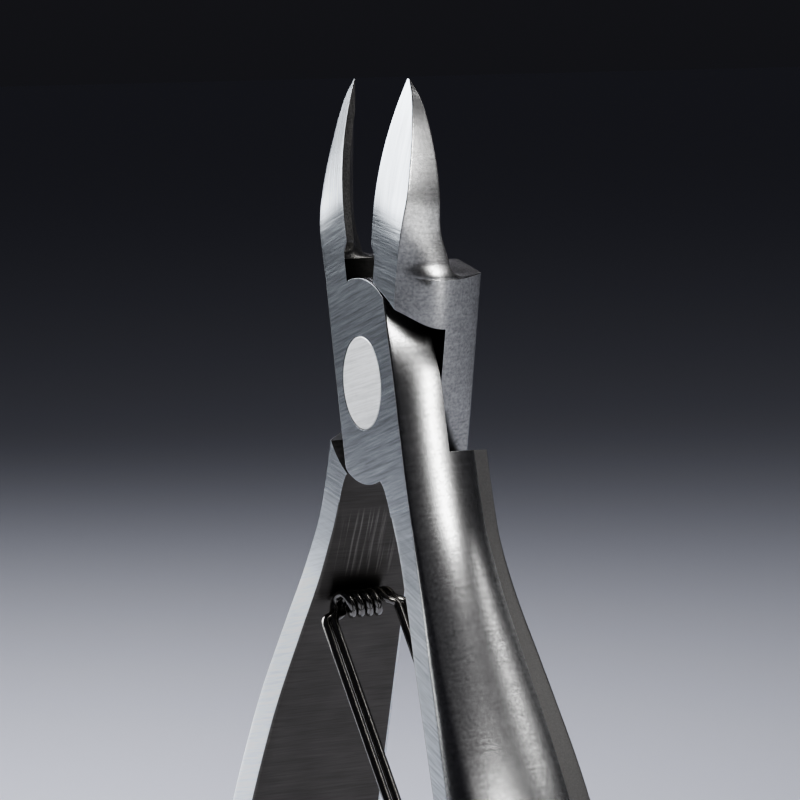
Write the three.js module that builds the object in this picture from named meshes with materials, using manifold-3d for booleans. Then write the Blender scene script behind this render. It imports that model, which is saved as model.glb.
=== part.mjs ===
// Lap-joint nippers of the 12 cm size, held open by their wire spring. Millimetres, +Z up.
//
// Object frame: the origin is on the pivot axis, on the rear face of the joint. +Z points to the
// tips, +X is the side that the right jaw opens to, and +Y is the rear.
//
// Lever frame: each lever is drawn as it stands when the jaws are closed, with its origin at the
// middle of the joint's thickness. The front lever has its jaw at -X and its handle at +X. The
// rear lever is drawn as its mirror image. Each is then turned by half the opening angle.

import * as THREE from 'three';
import { mergeVertices } from 'three/addons/utils/BufferGeometryUtils.js';
import Module from 'manifold-3d';

// Driving dimensions
const JOINT_HALF_THICKNESS = 3.15;
const HALF_OPENING = THREE.MathUtils.degToRad(11.87);
const HUMP_RADIUS = 7.2;
const HEEL_RADIUS = 7;
const PLATE_CORNER_RADIUS = 1.3;
const HEEL_RECESS_RADIUS = 7.2;
const SHOULDER = -5.6;
const HUMP_RECESS_INNER = 7.35;
const HUMP_RECESS_OUTER = 7.9;
const HEEL_ANGLE = THREE.MathUtils.degToRad(-80);
const PLATE_GAP = 0.04;
const FRONT = -JOINT_HALF_THICKNESS;

// Stations of a lever, as heights in the lever frame
const HANDLE_END = -98;
const DOME_START = -94;
const HANDLE_TOP = -9.5;
const LEDGE = 8.7;
const LEDGE_FILLET = 1.1;
const TIP = 21.2;

// Jaw
const JAW_INNER_EDGE = 0.7;
const JAW_CURVE_START = 11.5;
const JAW_CURVE_RADIUS = 24.8;
const EDGE_CLEARANCE = 0.02;
const BEVEL_OUT = 0.3;
const BEVEL_BACK = 0.7;
const BEVEL_SHARE_AT_TIP = 0.5;
const RIDGE_INNER_SHARE = 0.97;

// Pivot pin
const PIN_FACE_RADIUS = 3.2;
const PIN_SHANK_RADIUS = 2.3;
const PIN_HEAD_DEPTH = 1.1;
const PIN_CLEARANCE = 0.05;
const PIN_SIDES = 56;

// Spring wire, coil, legs and eye
const WIRE_RADIUS = 0.31;
const WIRE_SIDES = 8;
const STRAND_PITCH = 0.67;
const COIL_MEAN_RADIUS = 0.74;
const COIL_TURNS = 2.5;
const COIL_STEPS_PER_TURN = 20;
const COIL_CONTACT_HEIGHT = -17.3;
const COIL_CLEARANCE = 0.08;
const SPRING_OFFSET = -0.37;
const LEG_HALF_SPACING = 2.27;
const LEG_FOOT_HEIGHT = -52;
const LEG_FOOT_LIFT = 0.75;
const LEG_TOP_SHARE = 0.035;
const FOOT_BEND = 1.2;
const EYE_RADIUS = 1.5;
const EYE_LIFT = 0.4;

// Spring screw
const SCREW_HEIGHT = -58.5;
const SCREW_SHANK_RADIUS = 1;
const SCREW_HEAD_RADIUS = 2.5;
const SCREW_HEAD_START = 0.85;
const SCREW_HEAD_END = 2.05;
const SCREW_DEPTH = 2.6;
const SCREW_CLEARANCE = 0.05;
const SCREW_SLOT_WIDTH = 0.6;
const SCREW_SLOT_DEPTH = 0.55;

// Steel finishes
const FORGED_STEEL = { color: 0x9fa1a3, roughness: 0.35, metalness: 1 };
const GROUND_PIN = { color: 0xb9bbbd, roughness: 0.3, metalness: 1 };
const SPRING_STEEL = { color: 0x6d6a64, roughness: 0.22, metalness: 1 };
const SCREW_STEEL = { color: 0x8c8d8f, roughness: 0.3, metalness: 1 };

// Cutters reach this far outside the joint, and a stepped section changes over this height.
const CUTTER_REACH = 12;
const STEP = 0.02;

const POINTS_PER_SIDE = 9;
const POINTS_PER_FACE = 4;
const FACET_START = 0.58;

const wasm = await Module();
wasm.setup();

// A smooth function of height through [height, value] points, given in rising order.
function curveThrough(points) {
  const slopes = points.map((point, i) => {
    const before = points[Math.max(i - 1, 0)];
    const after = points[Math.min(i + 1, points.length - 1)];
    return (after[1] - before[1]) / (after[0] - before[0]);
  });
  return (z) => {
    let i = 0;
    while (i < points.length - 2 && z > points[i + 1][0]) i += 1;
    const [z0, v0] = points[i];
    const [z1, v1] = points[i + 1];
    const span = z1 - z0;
    const t = THREE.MathUtils.clamp((z - z0) / span, 0, 1);
    const s = 1 - t;
    return v0 * s * s * (1 + 2 * t) + v1 * t * t * (1 + 2 * s)
      + slopes[i] * span * t * s * s - slopes[i + 1] * span * t * t * s;
  };
}

// Handle: inner face, outer edge and half width against height
const handleInner = curveThrough([
  [-98, 5.8], [-90, 7.3], [-75, 10.4], [-57, 12.3], [-42, 11.05], [-28.8, 8.15], [-16, 4.15],
  [-9.5, 2.45],
]);
const handleOuter = curveThrough([
  [-98, 8.6], [-90, 10.5], [-75, 13.95], [-57, 15.9], [-42, 14.6], [-28.8, 11.5], [-16, 7.15],
  [-11.7, 6.0], [-8, 5.57], [-4.3, 5.4], [0, 5.28], [3, 5.1], [8.7, 4.9],
]);
const handleBulge = curveThrough([
  [-98, 0.5], [-90, 0.8], [-57, 1], [-28, 0.9], [-4, 0.85], [-0.4, 0.8], [3, 0.25], [8.7, 0.2],
]);
const shoulderTrim = curveThrough([[-18, 0], [-14, 0.05], [-8, 0.6], [-5, 0.8], [9, 0.8]]);
const halfWidth = curveThrough([
  [-98, 4.1], [-92, 4.5], [-75, 5.5], [-57, 5.85], [-42, 5.6], [-28.8, 4.85], [-19.8, 3.95],
  [-16, 3.5], [-11.8, 3.18], [-9.5, 3.15],
]);

// Jaw: outer edge, its bulge and the rear ridge against height
const jawOuter = curveThrough([
  [-9.5, 4.4], [5, 4.4], [8.7, 4.4], [11, 4.48], [12.8, 4.4], [14.1, 4.2], [15.8, 3.67],
  [17.5, 2.97], [19, 2.2], [20.3, 1.3], [21.2, 0.25],
]);
const jawBulge = curveThrough([
  [-9.5, 0], [-4.3, 0], [0, 1.2], [4, 1.45], [8.7, 1.35], [9.8, 0.9], [12, 0.35], [16, 0.2],
  [21.2, 0],
]);
// How much further back the front face is at its outer edge than at its cutting edge
const jawFaceLean = curveThrough([
  [8.7, 0], [11, 0], [12.8, 0.15], [14.1, 0.3], [15.8, 0.38], [17.5, 0.38], [19, 0.26], [21.2, 0.03],
]);
const jawInner = curveThrough([
  [8.7, JAW_INNER_EDGE], [9.2, 0.6], [9.6, 0.25], [9.9, EDGE_CLEARANCE], [21.2, EDGE_CLEARANCE],
]);
const jawRidge = curveThrough([
  [9.8, 0.25], [11.9, -0.3], [14.5, -0.35], [16.9, -0.45], [19.4, -0.72], [20.6, -0.98], [21.2, -1.2],
]);

function jawFront(z) {
  const rise = Math.max(0, z - JAW_CURVE_START);
  return FRONT + rise * rise / (2 * JAW_CURVE_RADIUS);
}

// The jaw's rear: a concave fillet above the ledge, then the ridge.
function jawRear(z) {
  const above = z - LEDGE;
  if (above >= LEDGE_FILLET) return jawRidge(z);
  const drop = LEDGE_FILLET - Math.sqrt(LEDGE_FILLET ** 2 - (LEDGE_FILLET - above) ** 2);
  return jawRidge(LEDGE + LEDGE_FILLET) + drop;
}

// Points along one side of a section, from the front (share 0) to the rear (share 1).
function sideShares(count, withFacet) {
  const last = withFacet ? count - 2 : count - 1;
  const end = withFacet ? (1 + FACET_START) / 2 : 1;
  const shares = [];
  for (let i = 0; i <= last; i += 1) shares.push(end * i / last);
  if (withFacet) shares.push(1);
  return shares;
}

// One section of a lever: [x, y] points round the front face, the handle side, the rear face and
// the jaw side.
function section(towardsHandle, towardsJaw) {
  const from = towardsJaw[0];
  const to = towardsHandle[0];
  const frontFace = [];
  for (let i = 1; i < POINTS_PER_FACE; i += 1) {
    const t = i / POINTS_PER_FACE;
    frontFace.push([THREE.MathUtils.lerp(from[0], to[0], t), THREE.MathUtils.lerp(from[1], to[1], t)]);
  }
  return [...frontFace, ...towardsHandle, ...towardsJaw.slice().reverse()];
}

// A side that is barrelled by bulge over its width; sign tells which way it faces.
function barrel(edge, bulge, half, shares, sign) {
  return shares.map((share) => {
    const v = 2 * share - 1;
    return [sign * (edge + bulge * (1 - v * v)), v * half];
  });
}

// The handle's outer side. One edge is ground to a facet: the rear edge of the front lever and the
// front edge of the rear lever, where it is trimmed further near the shoulder.
function handleSide(edge, bulge, half, z, facetOnRear) {
  const side = barrel(edge, bulge, half, sideShares(POINTS_PER_SIDE, true), 1);
  if (facetOnRear) return side;
  side[side.length - 1][0] -= shoulderTrim(z);
  return side.map(([x, y]) => [x, -y]).reverse();
}

function handleSection(z, facetOnRear) {
  const beyond = Math.max(0, DOME_START - z) / (DOME_START - HANDLE_END);
  const shrink = Math.sqrt(1 - beyond * beyond);
  const inner = handleInner(z);
  const outer = handleOuter(z);
  const middle = (inner + outer) / 2;
  const half = halfWidth(z) * shrink;
  const innerX = middle + (inner - middle) * shrink;
  const innerSide = sideShares(POINTS_PER_SIDE, false).map((share) => [innerX, (2 * share - 1) * half]);
  const edge = middle + (outer - middle) * shrink;
  return section(handleSide(edge, handleBulge(z) * shrink, half, z, facetOnRear), innerSide);
}

function jointSection(z, facetOnRear) {
  const jawSide = barrel(
    jawOuter(z), jawBulge(z), JOINT_HALF_THICKNESS, sideShares(POINTS_PER_SIDE, false), -1);
  return section(
    handleSide(handleOuter(z), handleBulge(z), JOINT_HALF_THICKNESS, z, facetOnRear), jawSide);
}

function jawSection(z) {
  const front = jawFront(z);
  const rear = jawRear(z);
  const edge = jawInner(z);
  const lean = jawFaceLean(z);
  const outerAt = (y) => jawOuter(z) + jawBulge(z) * (1 - (y / JOINT_HALF_THICKNESS) ** 2);
  const blend = THREE.MathUtils.smoothstep(z, LEDGE, LEDGE + LEDGE_FILLET);
  const bevelBack = Math.min(BEVEL_BACK, BEVEL_SHARE_AT_TIP * (rear - front));
  const bevelEnd = [edge + BEVEL_OUT * blend * bevelBack / BEVEL_BACK, front + bevelBack];
  const ridgeInner = [
    THREE.MathUtils.lerp(edge, Math.max(RIDGE_INNER_SHARE * outerAt(rear), edge + 0.1), blend), rear,
  ];
  const cuttingSide = [[-edge, front]];
  const hollowPoints = POINTS_PER_SIDE - 2;
  for (let i = 0; i <= hollowPoints; i += 1) {
    const t = i / hollowPoints;
    cuttingSide.push([
      -THREE.MathUtils.lerp(bevelEnd[0], ridgeInner[0], t),
      THREE.MathUtils.lerp(bevelEnd[1], ridgeInner[1], t),
    ]);
  }
  const outerSide = sideShares(POINTS_PER_SIDE, false).map((share) => {
    const y = THREE.MathUtils.lerp(front + lean, rear, share);
    return [-outerAt(y), y];
  });
  return section(cuttingSide, outerSide);
}

// Heights from low to high, with a station at each end and the same spacing between.
function stations(low, high, count) {
  return Array.from({ length: count + 1 }, (_, i) => low + (high - low) * i / count);
}

function leverRings(facetOnRear) {
  const rings = [];
  for (const angle of [0.96, 0.9, 0.78, 0.62, 0.42, 0.2]) {
    const z = DOME_START - (DOME_START - HANDLE_END) * angle;
    rings.push({ z, points: handleSection(z, facetOnRear) });
  }
  for (const z of [...stations(DOME_START, -20, 22), ...stations(-18, HANDLE_TOP, 6)]) {
    rings.push({ z, points: handleSection(z, facetOnRear) });
  }
  for (const z of [HANDLE_TOP + STEP, -7, -4.3, -2.2, 0, 2, 4, 6, LEDGE]) {
    rings.push({ z, points: jointSection(z, facetOnRear) });
  }
  const aboveLedge = [LEDGE + STEP, 8.85, 9.05, 9.25, 9.55, 9.8];
  for (const z of [...aboveLedge, ...stations(10.4, TIP - 0.9, 13), TIP - 0.4, TIP]) {
    rings.push({ z, points: jawSection(z) });
  }
  return rings;
}

// A closed skin through rings of equal length, with a flat cap at each end.
function loft(rings, mirror) {
  const count = rings[0].points.length;
  const positions = [];
  const indices = [];
  const addTriangle = (a, b, c) => indices.push(...(mirror > 0 ? [a, b, c] : [a, c, b]));
  for (const { z, points } of rings) {
    for (const [x, y] of points) positions.push(mirror * x, y, z);
  }
  for (let r = 0; r < rings.length - 1; r += 1) {
    for (let i = 0; i < count; i += 1) {
      const low = r * count + i;
      const lowNext = r * count + (i + 1) % count;
      addTriangle(low, lowNext, lowNext + count);
      addTriangle(low, lowNext + count, low + count);
    }
  }
  for (const [ring, flip] of [[0, true], [rings.length - 1, false]]) {
    const outline = rings[ring].points.map(([x, y]) => new THREE.Vector2(x, y));
    for (const [a, b, c] of THREE.ShapeUtils.triangulateShape(outline, [])) {
      const base = ring * count;
      if (flip) addTriangle(base + a, base + c, base + b);
      else addTriangle(base + a, base + b, base + c);
    }
  }
  const geometry = new THREE.BufferGeometry();
  geometry.setAttribute('position', new THREE.Float32BufferAttribute(positions, 3));
  geometry.setIndex(indices);
  return geometry;
}

function toSolid(geometry) {
  const bare = geometry.clone();
  bare.deleteAttribute('normal');
  bare.deleteAttribute('uv');
  const merged = mergeVertices(bare, 1e-5);
  return new wasm.Manifold(new wasm.Mesh({
    numProp: 3,
    vertProperties: new Float32Array(merged.attributes.position.array),
    triVerts: new Uint32Array(merged.index.array),
  }));
}

function toGeometry(solid) {
  const mesh = solid.getMesh();
  const geometry = new THREE.BufferGeometry();
  geometry.setAttribute('position', new THREE.BufferAttribute(new Float32Array(mesh.vertProperties), 3));
  geometry.setIndex(new THREE.BufferAttribute(new Uint32Array(mesh.triVerts), 1));
  return geometry;
}

// A prism right through the joint's thickness, with its outline drawn in the X-Z plane.
function prism(shape) {
  const geometry = new THREE.ExtrudeGeometry(shape, {
    depth: CUTTER_REACH, bevelEnabled: false,
  });
  geometry.rotateX(Math.PI / 2);
  geometry.translate(0, CUTTER_REACH / 2, 0);
  return geometry;
}

function mirroredShape(points, mirror) {
  return new THREE.Shape(points.map(([x, z]) => new THREE.Vector2(mirror * x, z)));
}

function arc(centreX, centreZ, radius, from, to, steps) {
  return stations(from, to, steps).map((angle) => (
    [centreX + radius * Math.cos(angle), centreZ + radius * Math.sin(angle)]));
}

// What is milled away above the hump of the joint plate, on the side away from the jaw.
function aboveHump(mirror) {
  const start = Math.acos(-JAW_INNER_EDGE / HUMP_RADIUS);
  const end = THREE.MathUtils.degToRad(20);
  return prism(mirroredShape([
    ...arc(0, 0, HUMP_RADIUS, start, end, 22),
    [CUTTER_REACH, HUMP_RADIUS * Math.sin(end)],
    [CUTTER_REACH, LEDGE + STEP],
    [-JAW_INNER_EDGE, LEDGE + STEP],
  ], mirror));
}

// What is milled away below the joint plate, on the side away from the handle. The plate's corner
// is rounded, and a fillet leads into the handle's inner face.
function belowPlate(mirror) {
  const cornerX = PLATE_CORNER_RADIUS - jawOuter(-4.3);
  const cornerZ = -Math.sqrt((HEEL_RADIUS - PLATE_CORNER_RADIUS) ** 2 - cornerX ** 2);
  const cornerAngle = Math.atan2(cornerZ, cornerX);
  const fillet = new THREE.QuadraticBezierCurve(
    new THREE.Vector2(HEEL_RADIUS * Math.cos(HEEL_ANGLE), HEEL_RADIUS * Math.sin(HEEL_ANGLE)),
    new THREE.Vector2(1.95, -7.15),
    new THREE.Vector2(handleInner(HANDLE_TOP), HANDLE_TOP));
  return prism(mirroredShape([
    [-CUTTER_REACH, cornerZ],
    ...arc(cornerX, cornerZ, PLATE_CORNER_RADIUS, -Math.PI, cornerAngle, 6),
    ...arc(0, 0, HEEL_RADIUS, cornerAngle, HEEL_ANGLE, 9).slice(1),
    ...fillet.getPoints(6).slice(1).map(({ x, y }) => [x, y]),
    [handleInner(HANDLE_TOP), HANDLE_TOP - STEP],
    [-CUTTER_REACH, HANDLE_TOP - STEP],
  ], mirror));
}

// A revolved solid about the Y axis; the profile's points are [radius, y].
function turned(profile, sides) {
  return new THREE.LatheGeometry(profile.map(([r, y]) => new THREE.Vector2(r, y)), sides);
}

// The recess for the other lever's plate: it clears that plate's hump under the jaw and its heel
// above the handle, where it ends in a flat shoulder.
function recess(mirror) {
  const humpRadius = (angle) => THREE.MathUtils.lerp(
    HUMP_RECESS_INNER, HUMP_RECESS_OUTER, THREE.MathUtils.smoothstep(angle, Math.PI / 2 + 0.25, 2.3));
  const underJaw = stations(0.3, Math.PI - 0.3, 26).map((angle) => (
    [humpRadius(angle) * Math.cos(angle), humpRadius(angle) * Math.sin(angle)]));
  const shoulderAngle = Math.asin(SHOULDER / HEEL_RECESS_RADIUS);
  const shape = mirroredShape([
    [CUTTER_REACH, 2], ...underJaw, [-CUTTER_REACH, 2], [-CUTTER_REACH, -7],
    ...arc(0, 0, HEEL_RECESS_RADIUS, -Math.PI / 2 - 0.2, shoulderAngle, 14),
    [CUTTER_REACH, SHOULDER],
  ], mirror);
  const geometry = prism(shape);
  geometry.translate(0, mirror * (CUTTER_REACH / 2 - PLATE_GAP), 0);
  return geometry;
}

function pinProfile(grow, overrun) {
  const face = PIN_FACE_RADIUS + grow;
  const shank = PIN_SHANK_RADIUS + grow;
  const end = JOINT_HALF_THICKNESS;
  const points = [[face, -end], [shank, -end + PIN_HEAD_DEPTH], [shank, end - PIN_HEAD_DEPTH], [face, end]];
  if (overrun) {
    points.unshift([face, -end - 1]);
    points.push([face, end + 1]);
  }
  points.unshift([0, points[0][1]]);
  points.push([0, points[points.length - 1][1]]);
  return points;
}

function lever(mirror) {
  let solid = toSolid(loft(leverRings(mirror > 0), mirror));
  for (const cutter of [
    aboveHump(mirror), belowPlate(mirror), recess(mirror),
    turned(pinProfile(PIN_CLEARANCE, true), PIN_SIDES),
  ]) {
    solid = solid.subtract(toSolid(cutter));
  }
  return solid;
}

function frontLever() {
  const threadHole = new THREE.CylinderGeometry(
    SCREW_SHANK_RADIUS + SCREW_CLEARANCE, SCREW_SHANK_RADIUS + SCREW_CLEARANCE, 2 * SCREW_DEPTH + 0.3, 24);
  threadHole.rotateZ(Math.PI / 2);
  threadHole.translate(handleInner(SCREW_HEIGHT), 0, SCREW_HEIGHT);
  return toGeometry(lever(1).subtract(toSolid(threadHole)));
}

function rearLever() {
  return toGeometry(lever(-1));
}

function pivotPin() {
  return turned(pinProfile(0, false), PIN_SIDES);
}

// A path through given points, with one extrusion step from each point to the next.
class PointPath extends THREE.Curve {
  constructor(points) {
    super();
    this.points = points;
  }

  getPoint(t) {
    const place = t * (this.points.length - 1);
    const i = Math.min(Math.floor(place), this.points.length - 2);
    return this.points[i].clone().lerp(this.points[i + 1], place - i);
  }

  getTangent(t) {
    const i = Math.round(t * (this.points.length - 1));
    const before = this.points[Math.max(i - 1, 0)];
    const after = this.points[Math.min(i + 1, this.points.length - 1)];
    return after.clone().sub(before).normalize();
  }

  getUtoTmapping(u) {
    return u;
  }
}

function wire(points) {
  const corners = arc(0, 0, WIRE_RADIUS, 0, 2 * Math.PI, WIRE_SIDES).slice(1);
  return new THREE.ExtrudeGeometry(mirroredShape(corners, 1), {
    steps: points.length - 1, extrudePath: new PointPath(points), bevelEnabled: false,
  });
}

// Where the coil rests on the rear lever's inner face, taken from the rear lever's frame to the
// front lever's frame.
function coilPlace() {
  const step = 0.01;
  const x = -handleInner(COIL_CONTACT_HEIGHT);
  const slope = (handleInner(COIL_CONTACT_HEIGHT + step) - handleInner(COIL_CONTACT_HEIGHT)) / step;
  const offset = COIL_MEAN_RADIUS + WIRE_RADIUS + COIL_CLEARANCE;
  const normal = new THREE.Vector2(1, slope).normalize();
  return new THREE.Vector2(x, COIL_CONTACT_HEIGHT)
    .addScaledVector(normal, offset)
    .rotateAround(new THREE.Vector2(0, 0), -2 * HALF_OPENING);
}

// The feet of the legs, where the moving part of the spring ends, in the front lever's frame.
const legFoot = new THREE.Vector2(handleInner(LEG_FOOT_HEIGHT) - LEG_FOOT_LIFT, LEG_FOOT_HEIGHT);
const coilCentre = coilPlace();
const legDirection = legFoot.clone().sub(coilCentre).normalize();

function legSide(side, isInner) {
  return SPRING_OFFSET + side * (LEG_HALF_SPACING + (isInner ? 0 : STRAND_PITCH));
}

// A point over the front lever's inner face, lifted off it by the eye's height.
function overFace(y, z) {
  return new THREE.Vector3(handleInner(z) - EYE_LIFT, y, z);
}

// The path of one leg from the eye's side, round the bend at its foot, up to the coil.
function leg(side, isInner, coilEnd) {
  const y = legSide(side, isInner);
  const eyeY = side * (EYE_RADIUS + (isInner ? 0 : STRAND_PITCH));
  const bend = LEG_FOOT_HEIGHT - FOOT_BEND;
  const alongFace = [1, 0.88, 0.5, 0.12, 0].map((share) => (
    overFace(THREE.MathUtils.lerp(y, eyeY, share), THREE.MathUtils.lerp(bend, SCREW_HEIGHT, share))));
  const foot = new THREE.Vector3(legFoot.x, y, legFoot.y);
  const top = coilEnd.clone().lerp(foot, LEG_TOP_SHARE);
  top.y = y;
  const nearFoot = foot.clone().lerp(top, 0.03);
  return [...alongFace, foot.lerp(overFace(y, bend), 0.3), nearFoot,
    ...stations(0.25, 1, 3).map((share) => nearFoot.clone().lerp(top, share))];
}

// A strand from the foot of the front leg to the foot of the rear leg. It meets the coil on the
// side that faces the rear lever and leaves it over the top.
function coilStrand(index) {
  const startAngle = Math.atan2(legDirection.x, -legDirection.y) + Math.PI;
  const coilStart = SPRING_OFFSET + (index - COIL_TURNS - 0.5) * STRAND_PITCH;
  const coilLength = 2 * COIL_TURNS * STRAND_PITCH;
  const coil = stations(0, 1, COIL_TURNS * COIL_STEPS_PER_TURN).map((share) => {
    const angle = startAngle - 2 * Math.PI * COIL_TURNS * share;
    return new THREE.Vector3(
      coilCentre.x + COIL_MEAN_RADIUS * Math.cos(angle),
      coilStart + coilLength * share,
      coilCentre.y + COIL_MEAN_RADIUS * Math.sin(angle));
  });
  return [
    ...leg(-1, index === 1, coil[0]), ...coil, ...leg(1, index === 0, coil[coil.length - 1]).reverse(),
  ];
}

function eyeArc(radius, from, to, steps) {
  return stations(from, to, steps).map((angle) => (
    overFace(radius * Math.cos(angle), SCREW_HEIGHT - radius * Math.sin(angle))));
}

// One wire, doubled: it goes round the coil, closes in an eye round the screw, and goes round the
// coil again. Its two ends almost meet below the screw.
function returnSpring() {
  const outer = EYE_RADIUS + STRAND_PITCH;
  const below = Math.PI / 2;
  const endGap = 0.12;
  return wire([
    ...eyeArc(outer, below + endGap, Math.PI, 5).slice(0, -1),
    ...coilStrand(0),
    ...eyeArc(EYE_RADIUS, 0, Math.PI, 12).slice(1, -1),
    ...coilStrand(1),
    ...eyeArc(outer, 0, below - endGap, 5).slice(1),
  ]);
}

function springScrew() {
  const body = turned([
    [0, -SCREW_DEPTH], [SCREW_SHANK_RADIUS, -SCREW_DEPTH], [SCREW_SHANK_RADIUS, SCREW_HEAD_START],
    [SCREW_HEAD_RADIUS, SCREW_HEAD_START], [SCREW_HEAD_RADIUS, SCREW_HEAD_END - 0.3],
    [SCREW_HEAD_RADIUS - 0.3, SCREW_HEAD_END], [0, SCREW_HEAD_END],
  ], 24);
  const slot = new THREE.BoxGeometry(2 * SCREW_HEAD_RADIUS + 1, 2 * SCREW_SLOT_DEPTH, SCREW_SLOT_WIDTH);
  slot.rotateY(0.6);
  slot.translate(0, SCREW_HEAD_END, 0);
  const geometry = toGeometry(toSolid(body).subtract(toSolid(slot)));
  geometry.rotateZ(Math.PI / 2);
  geometry.translate(handleInner(SCREW_HEIGHT), 0, SCREW_HEIGHT);
  return geometry;
}

function piece(name, geometry, finish) {
  const mesh = new THREE.Mesh(geometry, new THREE.MeshStandardMaterial(finish));
  mesh.name = name;
  return mesh;
}

const frontGroup = new THREE.Group();
frontGroup.rotation.y = -HALF_OPENING;
frontGroup.add(
  piece('front_lever', frontLever(), FORGED_STEEL),
  piece('spring_screw', springScrew(), SCREW_STEEL),
  piece('return_spring', returnSpring(), SPRING_STEEL),
);

const rearGroup = new THREE.Group();
rearGroup.rotation.y = HALF_OPENING;
rearGroup.add(
  piece('rear_lever', rearLever(), FORGED_STEEL),
  piece('pivot_pin', pivotPin(), GROUND_PIN),
);

const joint = new THREE.Group();
joint.position.y = -JOINT_HALF_THICKNESS;
joint.add(frontGroup, rearGroup);

const nippers = new THREE.Group();
nippers.add(joint);

export default nippers;
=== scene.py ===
"""Lap-joint nippers: fine levers, pin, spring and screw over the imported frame, in a small studio."""

import math

import bmesh
import bpy
import numpy as np
from mathutils import Matrix, Vector


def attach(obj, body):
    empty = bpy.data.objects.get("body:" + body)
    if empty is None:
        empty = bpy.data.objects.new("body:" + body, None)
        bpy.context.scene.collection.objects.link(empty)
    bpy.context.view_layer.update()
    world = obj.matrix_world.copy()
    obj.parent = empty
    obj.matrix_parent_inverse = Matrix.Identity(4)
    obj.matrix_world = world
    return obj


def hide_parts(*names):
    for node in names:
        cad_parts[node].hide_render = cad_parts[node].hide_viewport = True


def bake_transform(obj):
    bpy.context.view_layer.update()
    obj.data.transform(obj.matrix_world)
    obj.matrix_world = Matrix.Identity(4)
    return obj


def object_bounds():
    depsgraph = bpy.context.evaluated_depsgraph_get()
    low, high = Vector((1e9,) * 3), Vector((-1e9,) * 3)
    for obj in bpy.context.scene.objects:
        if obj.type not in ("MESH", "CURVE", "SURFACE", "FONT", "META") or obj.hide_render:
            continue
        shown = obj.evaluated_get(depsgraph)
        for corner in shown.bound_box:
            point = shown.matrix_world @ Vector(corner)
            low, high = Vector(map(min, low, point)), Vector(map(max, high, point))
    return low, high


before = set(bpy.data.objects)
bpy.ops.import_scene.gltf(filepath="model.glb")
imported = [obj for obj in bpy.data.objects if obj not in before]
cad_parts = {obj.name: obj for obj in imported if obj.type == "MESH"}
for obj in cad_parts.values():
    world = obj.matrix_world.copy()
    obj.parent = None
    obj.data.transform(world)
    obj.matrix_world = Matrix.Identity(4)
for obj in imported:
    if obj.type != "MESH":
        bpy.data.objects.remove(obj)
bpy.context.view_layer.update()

# Lengths are in millimetres until a mesh is made. A lever is drawn in its own frame: jaws closed,
# origin at the middle of the joint, front lever's jaw at -x and handle at +x. The rear lever is
# its mirror image. turn_in_place() then opens each lever by half the opening angle.
MM = 0.001
HALF_OPENING = math.radians(11.87)
HALF_JOINT = 3.15
FRONT = -HALF_JOINT

# Heights of a lever. STEP is how far a section takes to change where the lever is stepped.
HANDLE_END = -98
DOME_START = -94
HANDLE_TOP = -9.5
LEDGE = 8.7
LEDGE_FILLET = 1.1
TIP = 21.2
STEP = 0.02

# Joint plate and the other lever's recess for it
HUMP_RADIUS = 7.2
HUMP_END_ANGLE = math.radians(20)
HUMP_RECESS_INNER = 7.35
HUMP_RECESS_OUTER = 7.9
HEEL_RADIUS = 7
HEEL_RECESS_RADIUS = 7.2
HEEL_ANGLE = math.radians(-80)
HEEL_FILLET_CONTROL = (1.95, -7.15)
PLATE_CORNER_RADIUS = 1.3
PLATE_CORNER_HEIGHT = -4.3
SHOULDER = -5.6
PLATE_GAP = 0.04
FACET_START = 0.58

# Jaw
JAW_INNER_EDGE = 0.7
JAW_CURVE_START = 11.5
JAW_CURVE_RADIUS = 24.8
EDGE_CLEARANCE = 0.02
BEVEL_OUT = 0.3
BEVEL_BACK = 0.7
BEVEL_SHARE_AT_TIP = 0.5
RIDGE_INNER_SHARE = 0.97
RIDGE_LEAST_WIDTH = 0.1

# Pivot pin, and the clearance of every bore
PIN_RADIUS = 3.2
PIN_SHANK = 2.3
PIN_HEAD = 1.1
BORE_CLEARANCE = 0.05
PIN_SIDES = 128

# Spring: wire, coil, legs and eye
WIRE_RADIUS = 0.31
WIRE_SIDES = 16
WIRE_END_SHARE = 0.6
STRAND_PITCH = 0.67
COIL_RADIUS = 0.74
COIL_TURNS = 2.5
COIL_STEPS_PER_TURN = 40
COIL_CONTACT = -17.3
COIL_CLEARANCE = 0.08
SPRING_OFFSET = -0.37
LEG_HALF_SPACING = 2.27
LEG_FOOT = -52
LEG_FOOT_LIFT = 0.75
FOOT_BEND = 1.2
EYE_RADIUS = 1.5
EYE_LIFT = 0.4
EYE_END_GAP = 0.12

# Spring screw
SCREW_HEIGHT = -58.5
SCREW_SHANK = 1
SCREW_HEAD = 2.5
SCREW_HEAD_START = 0.85
SCREW_HEAD_END = 2.05
SCREW_DEPTH = 2.6
SLOT_WIDTH = 0.6
SLOT_DEPTH = 0.55
SLOT_TURN = 0.6

# How fine the meshes are, and how far a cutter reaches outside the joint
SHARP_ANGLE = math.radians(28)
CUTTER_REACH = 12
HUMP_STEPS = 60
SIDE_COUNTS = {"front": 10, "main": 24, "facet": 6, "rear": 8, "inner": 18}
CORNER_SHARES = (0.2, 0.5, 0.8)


# ---------------------------------------------------------------------------------------------
# Profiles of a lever against height
# ---------------------------------------------------------------------------------------------

def curve_through(*points):
    """A smooth function of height through (height, value) points, given in rising order."""
    def slope(i):
        before = points[max(i - 1, 0)]
        after = points[min(i + 1, len(points) - 1)]
        return (after[1] - before[1]) / (after[0] - before[0])

    def value(z):
        i = 0
        while i < len(points) - 2 and z > points[i + 1][0]:
            i += 1
        (z0, v0), (z1, v1) = points[i], points[i + 1]
        span = z1 - z0
        t = min(max((z - z0) / span, 0), 1)
        s = 1 - t
        return (v0 * s * s * (1 + 2 * t) + v1 * t * t * (1 + 2 * s)
                + slope(i) * span * t * s * s - slope(i + 1) * span * t * t * s)
    return value


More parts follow.
